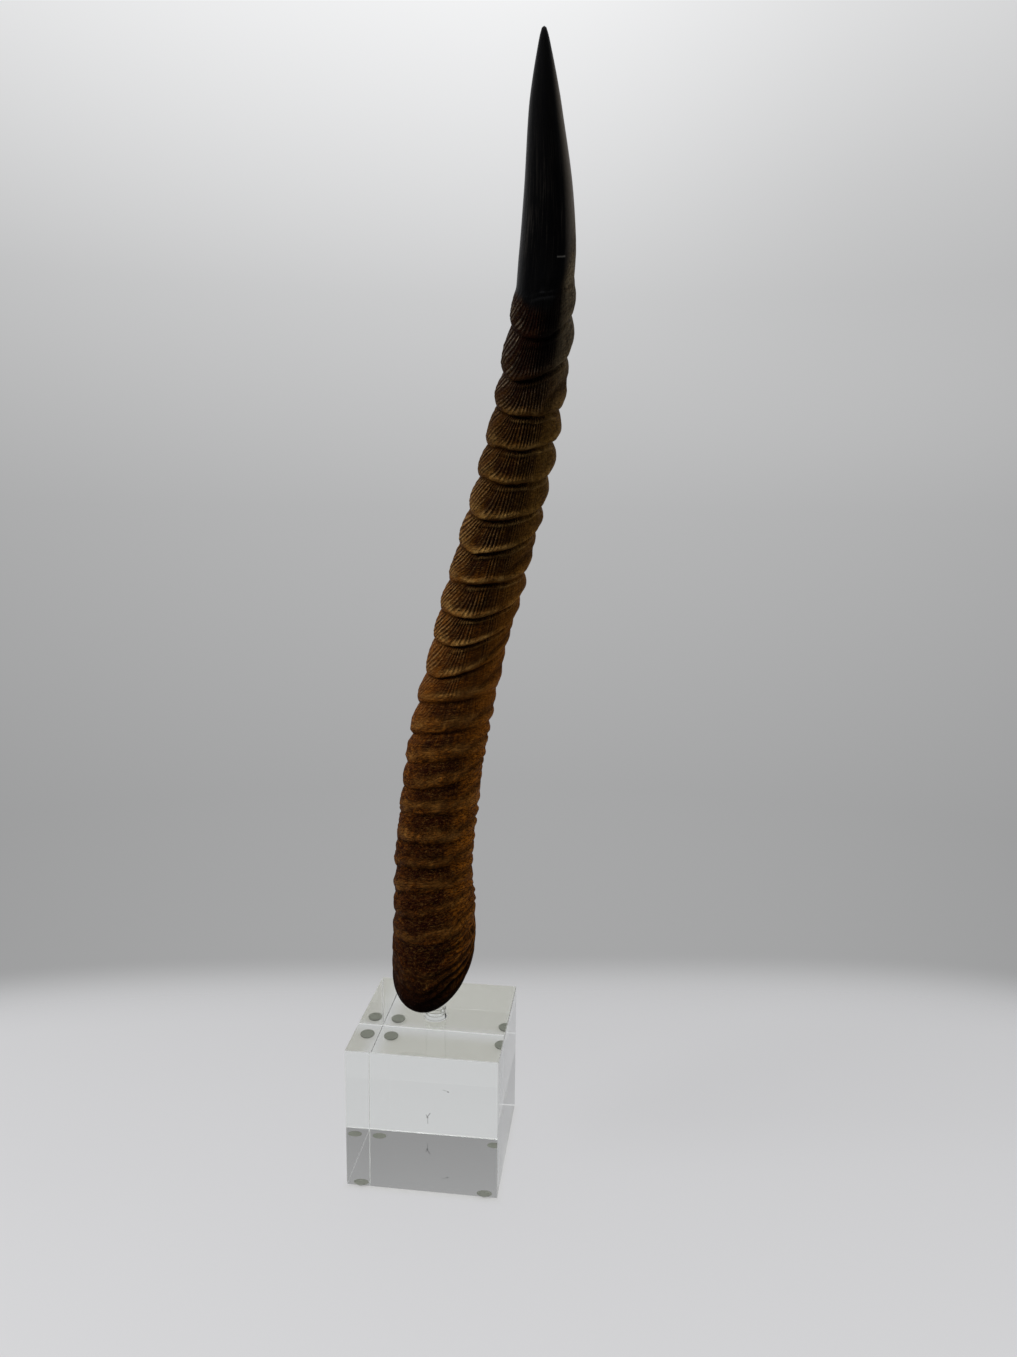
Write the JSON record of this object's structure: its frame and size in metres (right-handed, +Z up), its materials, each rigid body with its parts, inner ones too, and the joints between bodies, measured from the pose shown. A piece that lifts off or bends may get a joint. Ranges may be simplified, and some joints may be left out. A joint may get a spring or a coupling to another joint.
{
  "type": "mounted impala horn",
  "caption": "Single ringed impala horn with a smooth dark tip, standing on a clear peg in a square clear acrylic block with small stick-on pads underneath.",
  "frame": {"origin": "on the surface the pads rest on, under the middle of the whole object's box", "axes": "+Z up, -Y towards the front of the block, +X to the right seen from the front, the side the horn leans to"},
  "size_m": [0.1046, 0.0988, 0.5174],
  "materials": {
    "horn": "satin",
    "clear_acrylic": "polished",
    "pad": "matte"
  },
  "bodies": {
    "root": {"horn": "horn", "mounting_peg": "clear_acrylic", "acrylic_block": "clear_acrylic", "front_left_pad": "pad", "front_right_pad": "pad", "back_left_pad": "pad", "back_right_pad": "pad"}
  },
  "joints": []
}
